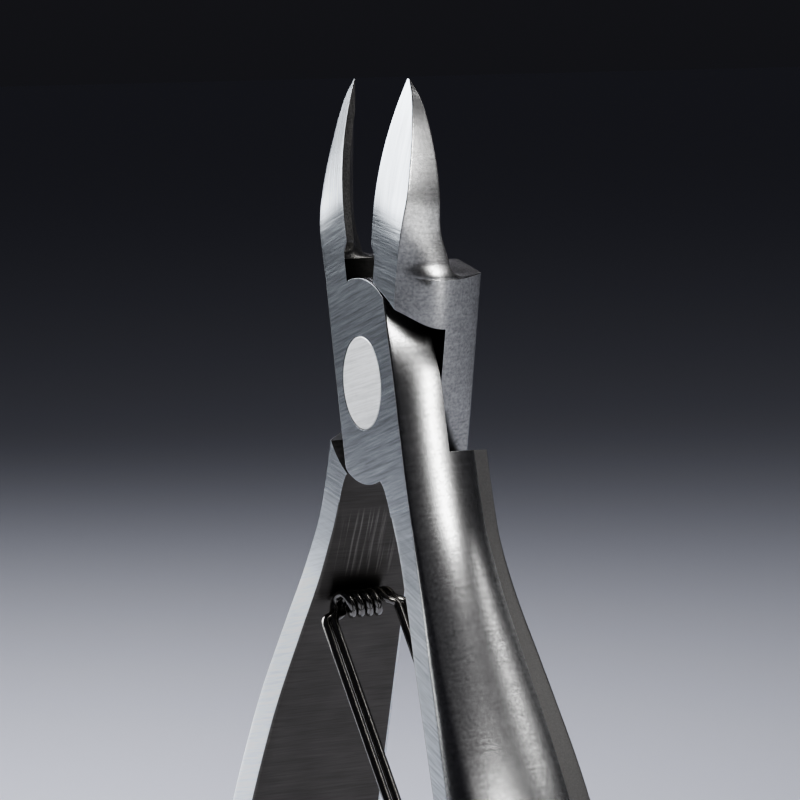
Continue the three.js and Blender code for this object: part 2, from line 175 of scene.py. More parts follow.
handle_inner = curve_through(
    (-98, 5.8), (-90, 7.3), (-75, 10.4), (-57, 12.3), (-42, 11.05), (-28.8, 8.15), (-16, 4.15),
    (-9.5, 2.45))
handle_outer = curve_through(
    (-98, 8.6), (-90, 10.5), (-75, 13.95), (-57, 15.9), (-42, 14.6), (-28.8, 11.5), (-16, 7.15),
    (-11.7, 6.0), (-8, 5.57), (-4.3, 5.4), (0, 5.28), (3, 5.1), (8.7, 4.9))
handle_bulge = curve_through(
    (-98, 0.5), (-90, 0.8), (-57, 1), (-28, 0.9), (-4, 0.85), (-0.4, 0.8), (3, 0.25), (8.7, 0.2))
shoulder_trim = curve_through((-18, 0), (-14, 0.05), (-8, 0.6), (-5, 0.8), (9, 0.8))
half_width = curve_through(
    (-98, 4.1), (-92, 4.5), (-75, 5.5), (-57, 5.85), (-42, 5.6), (-28.8, 4.85), (-19.8, 3.95),
    (-16, 3.5), (-11.8, 3.18), (-9.5, 3.15))
jaw_outer = curve_through(
    (-9.5, 4.4), (5, 4.4), (8.7, 4.4), (11, 4.48), (12.8, 4.4), (14.1, 4.2), (15.8, 3.67),
    (17.5, 2.97), (19, 2.2), (20.3, 1.3), (21.2, 0.25))
jaw_bulge = curve_through(
    (-9.5, 0), (-4.3, 0), (0, 1.2), (4, 1.45), (8.7, 1.35), (9.8, 0.9), (12, 0.35), (16, 0.2),
    (21.2, 0))
# How much further back the jaw's front face is at its outer edge than at its cutting edge
jaw_face_lean = curve_through(
    (8.7, 0), (11, 0), (12.8, 0.15), (14.1, 0.3), (15.8, 0.38), (17.5, 0.38), (19, 0.26),
    (21.2, 0.03))
jaw_inner = curve_through(
    (8.7, JAW_INNER_EDGE), (9.2, 0.6), (9.6, 0.25), (9.9, EDGE_CLEARANCE), (21.2, EDGE_CLEARANCE))
jaw_ridge = curve_through(
    (9.8, 0.25), (11.9, -0.3), (14.5, -0.35), (16.9, -0.45), (19.4, -0.72), (20.6, -0.98),
    (21.2, -1.2))
# How far the edges are rounded: the handle's front edges grow softer towards the hand.
grip_rounding = curve_through(
    (-98, 1.2), (-45, 1.5), (-30, 1.2), (-20, 0.6), (-12, 0.2), (-9.5, 0.12), (8.7, 0.1))


def jaw_front(z):
    rise = max(0, z - JAW_CURVE_START)
    return FRONT + rise * rise / (2 * JAW_CURVE_RADIUS)


def jaw_rear(z):
    """The jaw's rear: a concave fillet above the ledge, then the ridge."""
    above = z - LEDGE
    if above >= LEDGE_FILLET:
        return jaw_ridge(z)
    drop = LEDGE_FILLET - math.sqrt(LEDGE_FILLET ** 2 - (LEDGE_FILLET - above) ** 2)
    return jaw_ridge(LEDGE + LEDGE_FILLET) + drop


def smoothstep(value, low, high):
    t = min(max((value - low) / (high - low), 0), 1)
    return t * t * (3 - 2 * t)


def lerp(a, b, t):
    return a + (b - a) * t


# ---------------------------------------------------------------------------------------------
# Sections of a lever: five sides going round, each a run of (x, y) points
# ---------------------------------------------------------------------------------------------

def straight(start, end):
    return np.linspace(start, end, 12)


def barrel(edge, bulge, half, low, high):
    """A run of a barrelled side, from share low to share high of the half width."""
    v = np.linspace(low, high, 40)
    return np.column_stack([edge + bulge * (1 - v * v), v * half])


def outer_sides(edge, bulge, half, z, facet_on_rear):
    """The handle's outer side and the facet ground along one of its edges, front to rear."""
    main = barrel(edge, bulge, half, -1, FACET_START)
    if facet_on_rear:
        return {"main": main, "facet": straight(main[-1], (edge, half))}
    facet = straight(main[-1], (edge - shoulder_trim(z), half))
    flip = (1, -1)
    return {"facet": (facet * flip)[::-1], "main": (main * flip)[::-1]}


def close_section(sides, inner):
    """Adds the front and rear faces between the outer sides and the inner side."""
    runs = list(sides.values())
    return {
        "front": straight(inner[-1], runs[0][0]), **sides,
        "rear": straight(runs[-1][-1], inner[0]), "inner": inner,
    }


def handle_section(z, facet_on_rear):
    beyond = max(0, DOME_START - z) / (DOME_START - HANDLE_END)
    shrink = math.sqrt(1 - beyond * beyond)
    middle = (handle_inner(z) + handle_outer(z)) / 2
    half = half_width(z) * shrink
    inner = middle + (handle_inner(z) - middle) * shrink
    edge = middle + (handle_outer(z) - middle) * shrink
    sides = outer_sides(edge, handle_bulge(z) * shrink, half, z, facet_on_rear)
    return close_section(sides, straight((inner, half), (inner, -half)))


def joint_section(z, facet_on_rear):
    sides = outer_sides(handle_outer(z), handle_bulge(z), HALF_JOINT, z, facet_on_rear)
    jaw_side = barrel(jaw_outer(z), jaw_bulge(z), HALF_JOINT, 1, -1) * (-1, 1)
    return close_section(sides, jaw_side)


def jaw_section(z, facet_on_rear):
    front, rear, lean = jaw_front(z), jaw_rear(z), jaw_face_lean(z)
    edge = max(jaw_inner(z), EDGE_CLEARANCE)
    blend = smoothstep(z, LEDGE, LEDGE + LEDGE_FILLET)

    def outer_at(y):
        return jaw_outer(z) + jaw_bulge(z) * (1 - (y / HALF_JOINT) ** 2)

    bevel_back = min(BEVEL_BACK, BEVEL_SHARE_AT_TIP * (rear - front))
    bevel_end = (-(edge + BEVEL_OUT * blend * bevel_back / BEVEL_BACK), front + bevel_back)
    ridge_x = lerp(edge, max(RIDGE_INNER_SHARE * outer_at(rear), edge + RIDGE_LEAST_WIDTH), blend)
    y = np.linspace(rear, front + lean, 30)
    outer = np.column_stack([-outer_at(y), y])
    first, second = ("main", "facet") if facet_on_rear else ("facet", "main")
    return {
        "front": straight(outer[-1], (-edge, front)),
        first: straight((-edge, front), bevel_end),
        second: straight(bevel_end, (-ridge_x, rear)),
        "rear": straight((-ridge_x, rear), outer[0]),
        "inner": outer,
    }


def resample(run, start_trim, end_trim, count):
    """Evenly spaced points along a run, stopping short of both its corners."""
    lengths = np.concatenate([[0], np.cumsum(np.linalg.norm(np.diff(run, axis=0), axis=1))])
    total = lengths[-1]
    most = 0.4 * total
    start = min(start_trim, most)
    end = total - min(end_trim, most)
    places = np.linspace(start, end, count)
    return np.column_stack([np.interp(places, lengths, run[:, k]) for k in (0, 1)])


def round_outline(sides, radii):
    """The section's outline, with rounded corners, and the side that each point starts."""
    names = list(sides)
    following = names[1:] + names[:1]
    runs = {
        name: resample(sides[name], radii[name], radii[after], SIDE_COUNTS[name])
        for name, after in zip(names, following)
    }
    outline, owners = [], []
    for name, after in zip(names, following):
        outline.extend(runs[name])
        owners.extend([name] * (SIDE_COUNTS[name] - 1))
        corner = sides[name][-1]
        for t in CORNER_SHARES:
            outline.append(lerp(lerp(runs[name][-1], corner, t), lerp(corner, runs[after][0], t), t))
        softer = "main" if "main" in (name, after) else name
        owners.extend([softer] * (len(CORNER_SHARES) + 1))
    return np.array(outline), owners


def corner_radii(z, facet_on_rear):
    """The rounding at the start of each side."""
    if z > LEDGE:
        return {"front": 0.04, "main": 0.02, "facet": 0.02, "rear": 0.05, "inner": 0.05}
    soft = grip_rounding(z)
    crisp = min(soft, 0.25)
    first = "main" if facet_on_rear else "facet"
    second = "facet" if facet_on_rear else "main"
    return {"front": crisp, first: soft if facet_on_rear else crisp, second: crisp,
            "rear": crisp if facet_on_rear else soft, "inner": crisp}


# A finish's place in this list is its material slot on a lever.
FINISHES = ("satin", "front", "facet", "inner", "recess", "jaw")
FINISH_OF = {
    "handle_section": {"front": "front", "rear": "front", "facet": "facet", "inner": "inner"},
    "joint_section": {"front": "front", "rear": "front", "facet": "facet"},
    "jaw_section": {"front": "front", "main": "jaw", "facet": "jaw", "rear": "jaw"},
}


def lever_rings(facet_on_rear):
    """The outline at each height, from the end of the handle to the tip, and its finishes."""
    dome = [DOME_START - (DOME_START - HANDLE_END) * math.sin(a)
            for a in np.linspace(1.5, 0.08, 18)]
    plan = [(handle_section, [*dome, *np.linspace(DOME_START, HANDLE_TOP, 130)]),
            (joint_section, np.linspace(HANDLE_TOP + STEP, LEDGE, 30)),
            (jaw_section, [*np.linspace(LEDGE + STEP, LEDGE + LEDGE_FILLET, 14),
                           *np.linspace(10, TIP - 0.5, 64), TIP - 0.3, TIP - 0.12, TIP])]
    rings, finishes = [], []
    for section, heights in plan:
        for z in heights:
            outline, owners = round_outline(section(z, facet_on_rear), corner_radii(z, facet_on_rear))
            rings.append(np.column_stack([outline, np.full(len(outline), z)]))
            finishes.append([FINISH_OF[section.__name__].get(owner, "satin") for owner in owners])
    return rings, finishes


# ---------------------------------------------------------------------------------------------
# Meshes
# ---------------------------------------------------------------------------------------------

def new_object(name, vertices, faces):
    mesh = bpy.data.meshes.new(name)
    mesh.from_pydata([tuple(v) for v in vertices], [], faces)
    mesh.update()
    obj = bpy.data.objects.new(name, mesh)
    bpy.context.scene.collection.objects.link(obj)
    return obj


def recalculate_normals(obj):
    work = bmesh.new()
    work.from_mesh(obj.data)
    bmesh.ops.recalc_face_normals(work, faces=work.faces)
    work.to_mesh(obj.data)
    work.free()


def loft(name, rings, mirror=1):
    """A closed skin through rings of equal length."""
    count = len(rings[0])
    vertices = np.vstack(rings) * (mirror, 1, 1)
    faces = []
    for r in range(len(rings) - 1):
        for i in range(count):
            low, low_next = r * count + i, r * count + (i + 1) % count
            faces.append((low, low_next, low_next + count, low + count))
    faces.append(tuple(range(count)))
    faces.append(tuple(range((len(rings) - 1) * count, len(rings) * count)))
    obj = new_object(name, vertices, faces)
    recalculate_normals(obj)
    return obj


def prism(outline, y_low, y_high, mirror):
    """A prism across the joint, from its outline of (x, z) points."""
    outline = np.array(outline)
    rings = [np.column_stack([outline[:, 0], np.full(len(outline), y), outline[:, 1]])
             for y in (y_low, y_high)]
    return loft("cutter", rings, mirror)


def turned(name, profile, sides):
    """A solid turned about the y axis; the profile's points are (radius, y), ends on the axis."""
    angles = np.linspace(0, 2 * math.pi, sides, endpoint=False)
    rings = [np.column_stack([r * np.cos(angles), np.full(sides, y), r * np.sin(angles)])
             for r, y in profile[1:-1]]
    return loft(name, rings)


def cut(obj, cutters):
    """Cuts the solids away for good, and deletes them."""
    for cutter in cutters:
        modifier = obj.modifiers.new("cut", "BOOLEAN")
        modifier.operation = "DIFFERENCE"
        modifier.solver = "MANIFOLD"
        modifier.object = cutter
    bpy.context.view_layer.update()
    result = bpy.data.meshes.new_from_object(obj.evaluated_get(bpy.context.evaluated_depsgraph_get()))
    obj.modifiers.clear()
    obj.data = result
    for cutter in cutters:
        bpy.data.objects.remove(cutter)


def turn_in_place(obj, mirror):
    """Opens a lever-frame mesh by half the opening and moves it to the row frame, in metres."""
    to_row = (Matrix.Scale(MM, 4) @ Matrix.Translation((0, -HALF_JOINT, 0))
              @ Matrix.Rotation(-mirror * HALF_OPENING, 4, "Y"))
    obj.data.transform(to_row)


def smooth(obj):
    obj.data.shade_smooth()
    obj.data.set_sharp_from_angle(angle=SHARP_ANGLE)
    modifier = obj.modifiers.new("even_shading", "WEIGHTED_NORMAL")
    modifier.keep_sharp = True


def arc(radius, start, end, count):
    angles = np.linspace(start, end, count)
    return np.column_stack([radius * np.cos(angles), radius * np.sin(angles)])


def above_hump(mirror):
    """What is milled away above the hump of the joint plate."""
    start = math.acos(-JAW_INNER_EDGE / HUMP_RADIUS)
    outline = [*arc(HUMP_RADIUS, start, HUMP_END_ANGLE, HUMP_STEPS + 1),
               (CUTTER_REACH, HUMP_RADIUS * math.sin(HUMP_END_ANGLE)),
               (CUTTER_REACH, LEDGE + STEP), (-JAW_INNER_EDGE, LEDGE + STEP)]
    return prism(outline, -CUTTER_REACH, CUTTER_REACH, mirror)


def below_plate(mirror):
    """What is milled away below the joint plate, up to its rounded corner and heel."""
    corner_x = PLATE_CORNER_RADIUS - jaw_outer(PLATE_CORNER_HEIGHT)
    corner_z = -math.sqrt((HEEL_RADIUS - PLATE_CORNER_RADIUS) ** 2 - corner_x ** 2)
    corner_angle = math.atan2(corner_z, corner_x)
    corner = arc(PLATE_CORNER_RADIUS, -math.pi, corner_angle, 16) + (corner_x, corner_z)
    heel = arc(HEEL_RADIUS, corner_angle, HEEL_ANGLE, 24)[1:]
    low = np.array([handle_inner(HANDLE_TOP), HANDLE_TOP])
    control = np.array(HEEL_FILLET_CONTROL)
    fillet = [lerp(lerp(heel[-1], control, t), lerp(control, low, t), t)
              for t in np.linspace(0, 1, 16)[1:]]
    outline = [(-CUTTER_REACH, corner_z), *corner, *heel, *fillet,
               (low[0], HANDLE_TOP - STEP), (-CUTTER_REACH, HANDLE_TOP - STEP)]
    return prism(outline, -CUTTER_REACH, CUTTER_REACH, mirror)


def recess(mirror):
    """The recess for the other lever's plate, ending in a flat shoulder above the handle."""
    above_level, widening_start, widening_end = 0.3, math.pi / 2 + 0.25, 2.3
    under_jaw = []
    for angle in np.linspace(above_level, math.pi - above_level, 70):
        radius = lerp(HUMP_RECESS_INNER, HUMP_RECESS_OUTER,
                      smoothstep(angle, widening_start, widening_end))
        under_jaw.append((radius * math.cos(angle), radius * math.sin(angle)))
    shoulder_angle = math.asin(SHOULDER / HEEL_RECESS_RADIUS)
    outline = [(CUTTER_REACH, 2), *under_jaw, (-CUTTER_REACH, 2), (-CUTTER_REACH, -7),
               *arc(HEEL_RECESS_RADIUS, -math.pi / 2 - 0.2, shoulder_angle, 36),
               (CUTTER_REACH, SHOULDER)]
    near, far = sorted((-mirror * PLATE_GAP, mirror * CUTTER_REACH))
    return prism(outline, near, far, mirror)


def pin_cutter():
    face, shank = PIN_RADIUS + BORE_CLEARANCE, PIN_SHANK + BORE_CLEARANCE
    y = HALF_JOINT
    return turned("cutter", [(0, -y - 1), (face, -y - 1), (face, -y), (shank, -y + PIN_HEAD),
                             (shank, y - PIN_HEAD), (face, y), (face, y + 1), (0, y + 1)], PIN_SIDES)


def screw_hole():
    radius = SCREW_SHANK + BORE_CLEARANCE
    bottom = -SCREW_DEPTH - 0.2
    hole = turned("cutter", [(0, bottom), (radius, bottom), (radius, SCREW_DEPTH),
                             (0, SCREW_DEPTH)], 48)
    hole.data.transform(on_front_handle())
    return hole


def on_front_handle():
    """Stands a solid turned about y on the front handle's inner face, pointing at the other."""
    place = Matrix.Translation((handle_inner(SCREW_HEIGHT), 0, SCREW_HEIGHT))
    return place @ Matrix.Rotation(math.pi / 2, 4, "Z")


def give_finishes(obj, mirror, indices):
    """One material slot for each finish, and each face's slot."""
    for finish in FINISH_STEELS[mirror]:
        obj.data.materials.append(finish)
    obj.data.polygons.foreach_set("material_index", indices)


def make_lever(name, mirror):
    rings, finishes = lever_rings(mirror > 0)
    lever = loft(name + "_fine", rings, mirror)
    skin = [FINISHES.index(finish) for ring in finishes[1:] for finish in ring]
    give_finishes(lever, mirror, skin + [FINISHES.index("satin")] * 2)
    cutters = [above_hump(mirror), below_plate(mirror), recess(mirror), pin_cutter()]
    if mirror > 0:
        cutters.append(screw_hole())
    for cutter in cutters:
        # The cut faces get the dark inner and recess finishes, whose darkness is painted shade.
        finish = "inner" if cutter is cutters[1] else "recess"
        give_finishes(cutter, mirror, [FINISHES.index(finish)] * len(cutter.data.polygons))
    on_hump = cutters[0].data.polygons[:HUMP_STEPS]
    for polygon in on_hump:
        polygon.material_index = FINISHES.index("satin")
    cut(lever, cutters)
    return lever


# ---------------------------------------------------------------------------------------------
# Spring, pin and screw
# ---------------------------------------------------------------------------------------------

def coil_place():
    """Where the coil rests on the rear lever, in the front lever's frame, as (x, z)."""
    step = 0.01
    slope = (handle_inner(COIL_CONTACT + step) - handle_inner(COIL_CONTACT)) / step
    normal = np.array([1, slope]) / math.hypot(1, slope)
    x, z = (np.array([-handle_inner(COIL_CONTACT), COIL_CONTACT])
            + normal * (COIL_RADIUS + WIRE_RADIUS + COIL_CLEARANCE))
    angle = 2 * HALF_OPENING
    return (x * math.cos(angle) + z * math.sin(angle), z * math.cos(angle) - x * math.sin(angle))


def over_face(y, z):
    return np.array([handle_inner(z) - EYE_LIFT, y, z])


def bezier(points, count):
    """Points on the Bezier curve with these control points, its first and last included."""
    result = []
    for t in np.linspace(0, 1, count):
        level = [np.array(p, float) for p in points]
        while len(level) > 1:
            level = [lerp(a, b, t) for a, b in zip(level, level[1:])]
        result.append(level[0])
    return result


def leg_path(side, is_inner, coil_end, coil_tangent):
    """One leg from the eye's side, round the bend at its foot and straight up to the coil."""
    foot_reach, top_reach, out_of_leg, into_coil = 1.5, 1.1, 0.8, 0.7
    y = SPRING_OFFSET + side * (LEG_HALF_SPACING + (0 if is_inner else STRAND_PITCH))
    eye_y = side * (EYE_RADIUS + (0 if is_inner else STRAND_PITCH))
    bend = LEG_FOOT - FOOT_BEND
    foot = np.array([handle_inner(LEG_FOOT) - LEG_FOOT_LIFT, y, LEG_FOOT])
    up = np.array([coil_end[0], y, coil_end[2]]) - foot
    up /= np.linalg.norm(up)
    top = np.array([coil_end[0], y, coil_end[2]]) - up * top_reach
    along_face = [over_face(lerp(y, eye_y, smoothstep(s, 0, 1)), lerp(bend, SCREW_HEIGHT, s))
                  for s in np.linspace(1, 0, 14)]
    foot_bend = bezier([along_face[-1], foot, foot + up * foot_reach], 8)[1:]
    straight_run = [lerp(foot_bend[-1], top, s) for s in np.linspace(0, 1, 14)[1:]]
    turn = bezier([top, top + up * out_of_leg, coil_end - coil_tangent * into_coil, coil_end],
                  10)[1:-1]
    return [*along_face, *foot_bend, *straight_run, *turn]


def coil_strand(index):
    """A strand up the front leg, round the coil and down the rear leg."""
    centre_x, centre_z = coil_place()
    foot_x = handle_inner(LEG_FOOT) - LEG_FOOT_LIFT
    start = math.atan2(foot_x - centre_x, centre_z - LEG_FOOT) + math.pi
    first_y = SPRING_OFFSET + (index - COIL_TURNS - 0.5) * STRAND_PITCH
    length = 2 * COIL_TURNS * STRAND_PITCH
    shares = np.linspace(0, 1, int(COIL_TURNS * COIL_STEPS_PER_TURN) + 1)
    angles = start - 2 * math.pi * COIL_TURNS * shares
    coil = np.column_stack([centre_x + COIL_RADIUS * np.cos(angles), first_y + length * shares,
                            centre_z + COIL_RADIUS * np.sin(angles)])
    into = (coil[1] - coil[0]) / np.linalg.norm(coil[1] - coil[0])
    out = (coil[-1] - coil[-2]) / np.linalg.norm(coil[-1] - coil[-2])
    front_leg = leg_path(-1, index == 1, coil[0], into)
    rear_leg = leg_path(1, index == 0, coil[-1], -out)
    return [*front_leg, *coil, *rear_leg[::-1]]


def eye_arc(radius, start, end, count):
    return [over_face(radius * math.cos(a), SCREW_HEIGHT - radius * math.sin(a))
            for a in np.linspace(start, end, count)]


def spring_path():
    """One doubled wire: round the coil, round the screw in an eye, and round the coil again."""
    outer, below = EYE_RADIUS + STRAND_PITCH, math.pi / 2
    return [*eye_arc(outer, below + EYE_END_GAP, math.pi, 12)[:-1], *coil_strand(0),
            *eye_arc(EYE_RADIUS, 0, math.pi, 28)[1:-1], *coil_strand(1),
            *eye_arc(outer, 0, below - EYE_END_GAP, 12)[1:]]


def tube(name, path, radius):
    """A closed round wire along a path, its section carried without twist, thinner at its ends."""
    path = np.array(path)
    tangents = np.gradient(path, axis=0)
    tangents /= np.linalg.norm(tangents, axis=1)[:, None]
    across = np.cross(tangents[0], (0, 0, 1))
    angles = np.linspace(0, 2 * math.pi, WIRE_SIDES, endpoint=False)
    scales = np.ones(len(path))
    scales[[0, -1]] = WIRE_END_SHARE
    rings = []
    for point, tangent, scale in zip(path, tangents, scales):
        across = across - tangent * np.dot(across, tangent)
        across /= np.linalg.norm(across)
        up = np.cross(tangent, across)
        ring = point + radius * scale * (np.outer(np.cos(angles), across)
                                         + np.outer(np.sin(angles), up))
        rings.append(ring)
    return loft(name, rings)


def make_pin():
    y, edge = HALF_JOINT, 0.05
    return turned("pivot_pin_fine", [
        (0, -y), (PIN_RADIUS - edge, -y), (PIN_RADIUS, -y + edge), (PIN_SHANK, -y + PIN_HEAD),
        (PIN_SHANK, y - PIN_HEAD), (PIN_RADIUS, y - edge), (PIN_RADIUS - edge, y), (0, y),
    ], PIN_SIDES)


def make_screw():
    edge, chamfer, fine_chamfer = 0.3, 0.2, 0.1
    rounded = [(SCREW_HEAD - edge + edge * math.sin(a), SCREW_HEAD_END - edge + edge * math.cos(a))
               for a in np.linspace(math.pi / 2, 0.15, 7)]
    screw = turned("spring_screw_fine", [
        (0, -SCREW_DEPTH), (SCREW_SHANK - chamfer, -SCREW_DEPTH),
        (SCREW_SHANK, -SCREW_DEPTH + chamfer), (SCREW_SHANK, SCREW_HEAD_START),
        (SCREW_HEAD - fine_chamfer, SCREW_HEAD_START),
        (SCREW_HEAD, SCREW_HEAD_START + fine_chamfer), *rounded, (0, SCREW_HEAD_END)], 96)
    half, low = SLOT_WIDTH / 2, SCREW_HEAD_END - SLOT_DEPTH
    outline = [(-half, low + fine_chamfer), (-half + fine_chamfer, low),
               (half - fine_chamfer, low), (half, low + fine_chamfer),
               (half, SCREW_HEAD_END + 1), (-half, SCREW_HEAD_END + 1)]
    rings = [np.array([(reach, up, across) for across, up in outline])
             for reach in (-SCREW_HEAD - 1, SCREW_HEAD + 1)]
    slot = loft("cutter", rings)
    slot.data.transform(Matrix.Rotation(SLOT_TURN, 4, "Y"))
    cut(screw, [slot])
    screw.data.transform(on_front_handle())
    return screw


# ---------------------------------------------------------------------------------------------
# Steel finishes
# ---------------------------------------------------------------------------------------------

EDGE_GAIN = 6
LEAST_ROUGHNESS = 0.08
RELIEF_DEPTH = 0.01


class Finish:
    """A procedural steel, worked out in the lever's own frame in millimetres."""

    def __init__(self, name, tint, roughness, mirror):
        self.material = bpy.data.materials.new(name)
        self.material.use_nodes = True
        self.tree = self.material.node_tree
        self.shader = self.tree.nodes["Principled BSDF"]
        self.shader.inputs["Metallic"].default_value = 1
        self.tint = tint
        self.roughness = roughness
        place = self.node("ShaderNodeTexCoord").outputs["Object"]
        self.place = self.mapped(place, (0, mirror * HALF_OPENING, 0), 1 / MM, (0, HALF_JOINT, 0))
        self.heights = []
        self.tones = []
        self.grades = []

    def node(self, kind, **settings):
        node = self.tree.nodes.new(kind)
        for name, value in settings.items():
            setattr(node, name, value)
        return node

    def link(self, output, socket):
        self.tree.links.new(output, socket)

    def mapped(self, vector, rotation=(0, 0, 0), scale=1, location=(0, 0, 0)):
        mapping = self.node("ShaderNodeMapping")
        mapping.inputs["Rotation"].default_value = rotation
        mapping.inputs["Location"].default_value = location
        mapping.inputs["Scale"].default_value = scale if isinstance(scale, tuple) else (scale,) * 3
        self.link(vector, mapping.inputs["Vector"])
        return mapping.outputs["Vector"]

    def math(self, operation, a, b=0.0, clamp=False):
        node = self.node("ShaderNodeMath", operation=operation, use_clamp=clamp)
        for socket, value in zip(node.inputs, (a, b)):
            if isinstance(value, (int, float)):
                socket.default_value = value
            else:
                self.link(value, socket)
        return node.outputs[0]

    def noise(self, vector, detail, rough):
        """A noise from about -0.5 to 0.5."""
        noise = self.node("ShaderNodeTexNoise")
        noise.inputs["Scale"].default_value = 1
        noise.inputs["Detail"].default_value = detail
        noise.inputs["Roughness"].default_value = rough
        self.link(vector, noise.inputs["Vector"])
        return self.math("SUBTRACT", noise.outputs["Fac"], 0.5)

    def grain(self, per_mm, tilt=0.0):
        """Fine lines: per_mm says how often the noise changes along x, y and z, after the tilt in
        degrees about y."""
        tilted = self.mapped(self.place, rotation=(0, math.radians(tilt), 0))
        return self.noise(self.mapped(tilted, scale=per_mm), 2, 0.65)

    def speckle(self, per_mm):
        return self.noise(self.mapped(self.place, scale=per_mm), 1, 0.6)

    def axis(self, index):
        """One of the lever frame's coordinates."""
        node = self.node("ShaderNodeSeparateXYZ")
        self.link(self.place, node.inputs[0])
        return node.outputs[index]

    def band(self, value, low, high, fade):
        """1 between low and high, fading to 0 over fade outside them."""
        rise = self.ramp(value, low - fade, low)
        fall = self.ramp(value, high, high + fade)
        return self.math("SUBTRACT", rise, fall, clamp=True)

    def ramp(self, value, low, high):
        """0 at low, 1 at high."""
        node = self.node("ShaderNodeMapRange", clamp=True)
        self.link(value, node.inputs["Value"])
        node.inputs["From Min"].default_value = low
        node.inputs["From Max"].default_value = high
        return node.outputs["Result"]

    def mix(self, a, b, share):
        node = self.node("ShaderNodeMix", data_type="FLOAT")
        for socket, value in zip((node.inputs[2], node.inputs[3], node.inputs[0]), (a, b, share)):
            self.link(value, socket)
        return node.outputs[0]

    def add_height(self, value, amount):
        self.heights.append(self.math("MULTIPLY", value, amount))

    def add_tone(self, value, amount):
        self.tones.append(self.math("MULTIPLY", value, amount))

    def add_roughness(self, value, amount):
        self.grades.append(self.math("MULTIPLY", value, amount))

    def total(self, values, start):
        total = start
        for value in values:
            total = self.math("ADD", value, total)
        return total

    def finish(self, rounding, edge_wear_and_highlight=0.35):
        """Joins up the shader. Edges are rounded by the rounding in mm and made brighter: partly wear,
        partly a painted highlight along them.
        """
        bevel = self.node("ShaderNodeBevel", samples=6)
        bevel.inputs["Radius"].default_value = rounding * MM
        geometry = self.node("ShaderNodeNewGeometry")
        match = self.node("ShaderNodeVectorMath", operation="DOT_PRODUCT")
        self.link(bevel.outputs["Normal"], match.inputs[0])
        self.link(geometry.outputs["Normal"], match.inputs[1])
        turned_away = self.math("SUBTRACT", 1.0, match.outputs["Value"])
        # The brighter edges are partly wear and partly a painted edge highlight.
        edge = self.math("MULTIPLY", turned_away, EDGE_GAIN, clamp=True)
        self.add_tone(edge, edge_wear_and_highlight)

        tone = self.total(self.tones, 1.0)
        colour = self.node("ShaderNodeVectorMath", operation="SCALE")
        colour.inputs[0].default_value = self.tint
        self.link(tone, colour.inputs["Scale"])
        self.link(colour.outputs["Vector"], self.shader.inputs["Base Color"])
        rough = self.math("MAXIMUM", self.total(self.grades, self.roughness), LEAST_ROUGHNESS)
        self.link(rough, self.shader.inputs["Roughness"])

        relief = self.node("ShaderNodeBump")
        relief.inputs["Strength"].default_value = 1
        relief.inputs["Distance"].default_value = RELIEF_DEPTH * MM
        self.link(self.total(self.heights, 0.0), relief.inputs["Height"])
        self.link(bevel.outputs["Normal"], relief.inputs["Normal"])
        self.link(relief.outputs["Normal"], self.shader.inputs["Normal"])
        return self.material


def front_steel(mirror):
    """The flat front and rear faces: fine lines across the joint, along the jaws' curved faces and
    slanting on the lighter handles; the rear lever's handle and the jaws' tops also get a painted
    highlight."""
    steel = Finish(f"front_{mirror:+d}", (0.4, 0.42, 0.445), 0.27, mirror)
    height = steel.axis(2)
    across = steel.grain((0.25, 0.5, 6), 4)
    along = steel.grain((6, 0.5, 0.25), -6 * mirror)
    slanting = steel.grain((0.25, 0.5, 6), -25 * mirror)
    on_jaw = steel.ramp(height, 11.8, 12.8)
    on_handle = steel.ramp(height, -9, -16)
    lines = steel.mix(steel.mix(across, along, on_jaw), slanting, on_handle)
    steel.add_height(lines, 0.8)
    steel.add_tone(lines, 1.4)
    # Painted highlight: the rear lever's handle front is painted far lighter than the front lever's;
    # the slight lightening of both is their brushed finish.
    steel.add_tone(on_handle, 0.1 if mirror > 0 else 1.35)
    # Painted highlight on the jaws' upper faces, where they curve back; the change of grind there is
    # real.
    steel.add_tone(on_jaw, 0.8)
    steel.add_roughness(on_handle, 0.1)
    return steel.finish(0.05)


def satin_steel(mirror):
    """The rounded sides: blasted satin with a faint polish along them."""
    steel = Finish(f"satin_{mirror:+d}", (0.56, 0.558, 0.55), 0.27, mirror)
    grit = steel.speckle(5)
    lines = steel.grain((0.8, 0.5, 5), 12)
    steel.add_height(lines, 0.3)
    steel.add_tone(grit, 0.9)
    steel.add_tone(lines, 0.5)
    return steel.finish(0.05)


def facet_steel(mirror):
    """The facet ground along one edge of each handle: even and dull."""
    steel = Finish(f"facet_{mirror:+d}", (0.5, 0.49, 0.475), 0.42, mirror)
    steel.add_height(steel.grain((3, 9, 1)), 1.0)
    steel.add_tone(steel.speckle(9), 0.4)
    return steel.finish(0.06)


def inner_steel(mirror):
    """The handles' inner faces: painted dark as shade, with fine lines across and a painted reflection
    of the coil.
    """
    # The dark tint is painted shade, standing in for the dark reflection of the other lever.
    steel = Finish(f"inner_{mirror:+d}", (0.2, 0.19, 0.175), 0.4, mirror)
    lines = steel.grain((1, 0.35, 9))
    broad = steel.grain((0.3, 0.15, 2))
    steel.add_height(lines, 1.2)
    steel.add_tone(lines, 0.5)
    steel.add_tone(broad, 0.35)
    steel.add_tone(steel.speckle(0.25), 0.4)
    if mirror < 0:
        # Painted reflection: bright streaks on the rear lever's inner face just above the coil stand
        # for the coil's highlights mirrored there.
        painted_coil_reflection_streaks = steel.ramp(steel.grain((0.1, 5, 0.12)), 0.03, 0.16)
        painted_reflection_area = steel.math("MULTIPLY", steel.band(steel.axis(2), -15, -11, 1),
                          steel.band(steel.axis(1), -2.2, 1.4, 0.8))
        steel.add_tone(steel.math("MULTIPLY", painted_coil_reflection_streaks, painted_reflection_area), 0.9)
    return steel.finish(0.06)


